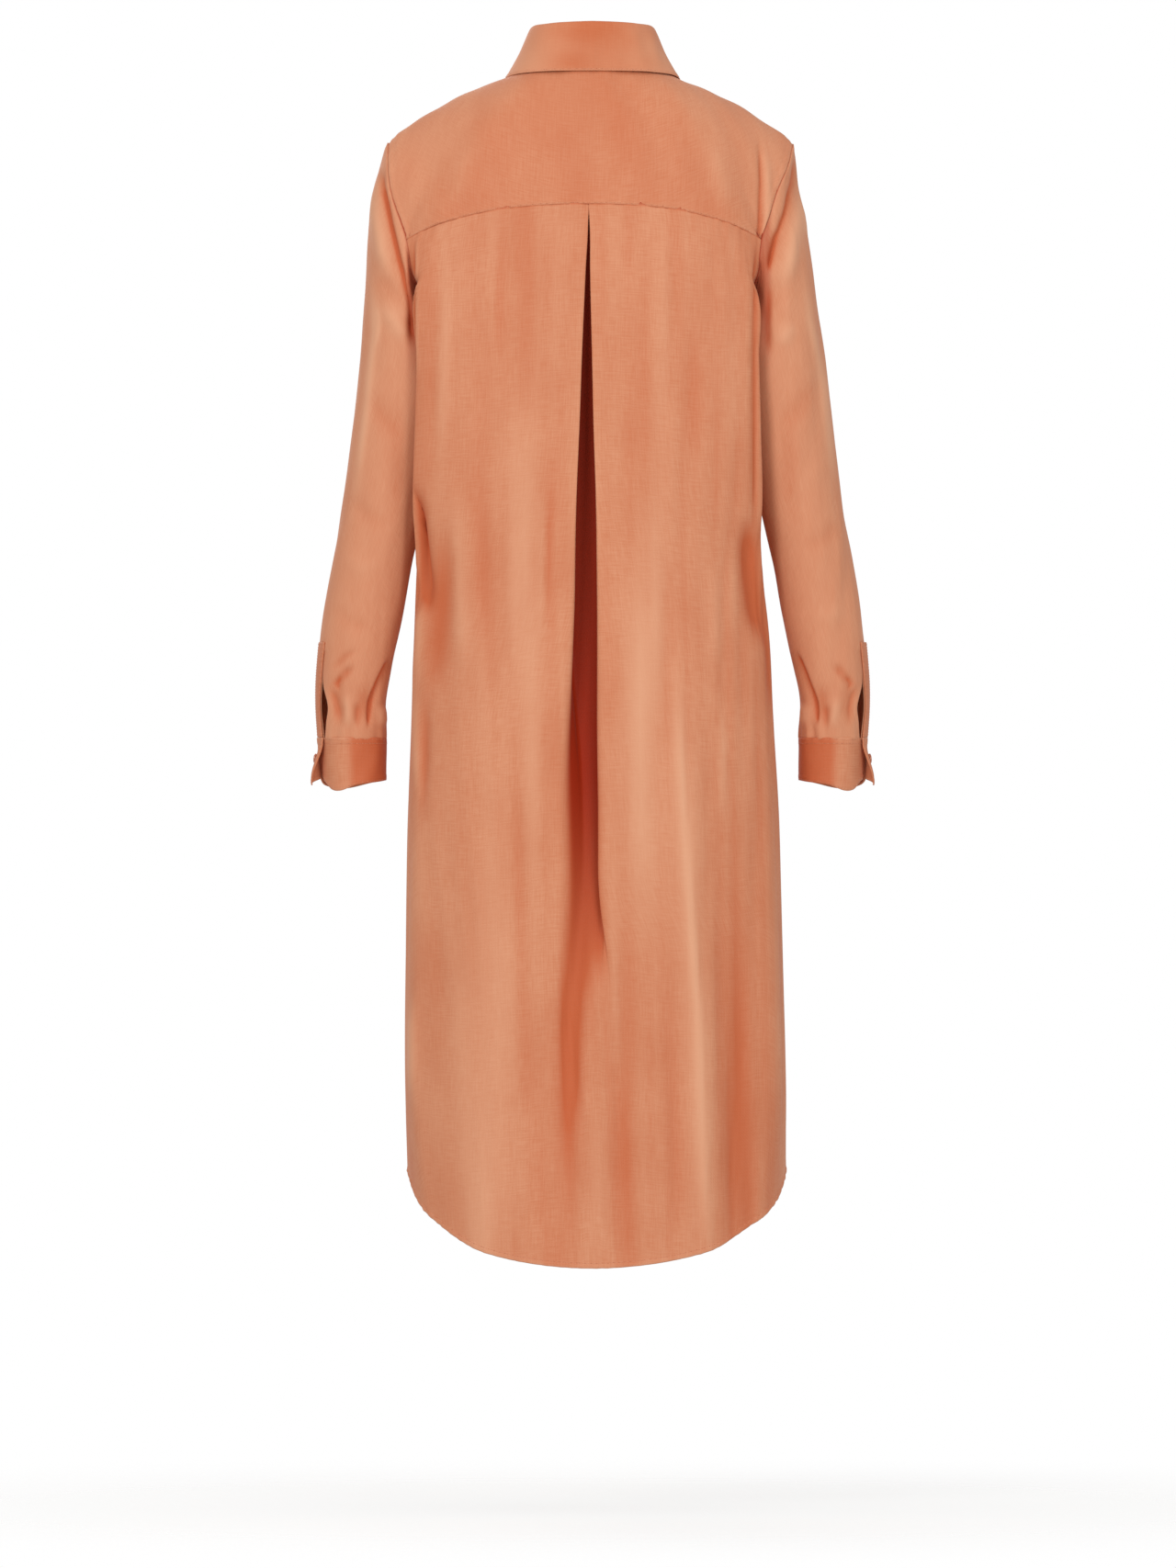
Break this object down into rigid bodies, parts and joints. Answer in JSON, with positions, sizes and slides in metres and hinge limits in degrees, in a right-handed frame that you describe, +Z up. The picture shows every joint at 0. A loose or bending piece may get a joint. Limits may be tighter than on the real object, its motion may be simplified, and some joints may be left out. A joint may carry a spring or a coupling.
{
  "type": "long-sleeved shirt dress in its worn form",
  "caption": "Buttoned midi shirt dress with a yoke, an inverted box pleat at the back, cuffed sleeves and a shirt-tail hem, hollow as worn.",
  "frame": {"origin": "middle of the shoulders at the height of the neck's side, where the wearer's shoulders hold the dress up", "axes": "+Z up along the dress, the front faces -Y, +X is the wearer's left"},
  "size_m": [0.594, 0.2963, 1.3143],
  "materials": {
    "terracotta_cloth": "soft woven cloth with a slight sheen",
    "terracotta_trim": "the same cloth, two layers pressed and edge-stitched",
    "dyed_button": "polished resin dyed to match"
  },
  "bodies": {
    "root": {"back_yoke": "terracotta_cloth", "back_panel": "terracotta_cloth", "front_left": "terracotta_cloth", "front_right": "terracotta_cloth", "front_band": "terracotta_trim", "collar_stand": "terracotta_cloth", "collar_fall": "terracotta_cloth", "sleeve_left": "terracotta_cloth", "sleeve_right": "terracotta_cloth", "sleeve_placket_left": "terracotta_trim", "sleeve_placket_right": "terracotta_trim", "cuff_left": "terracotta_cloth", "cuff_right": "terracotta_cloth", "button_01": "dyed_button", "button_02": "dyed_button", "button_03": "dyed_button", "button_04": "dyed_button", "button_05": "dyed_button", "button_06": "dyed_button", "button_07": "dyed_button", "button_08": "dyed_button", "button_09": "dyed_button", "button_10": "dyed_button", "button_11": "dyed_button", "button_12": "dyed_button", "button_13": "dyed_button"}
  },
  "joints": []
}
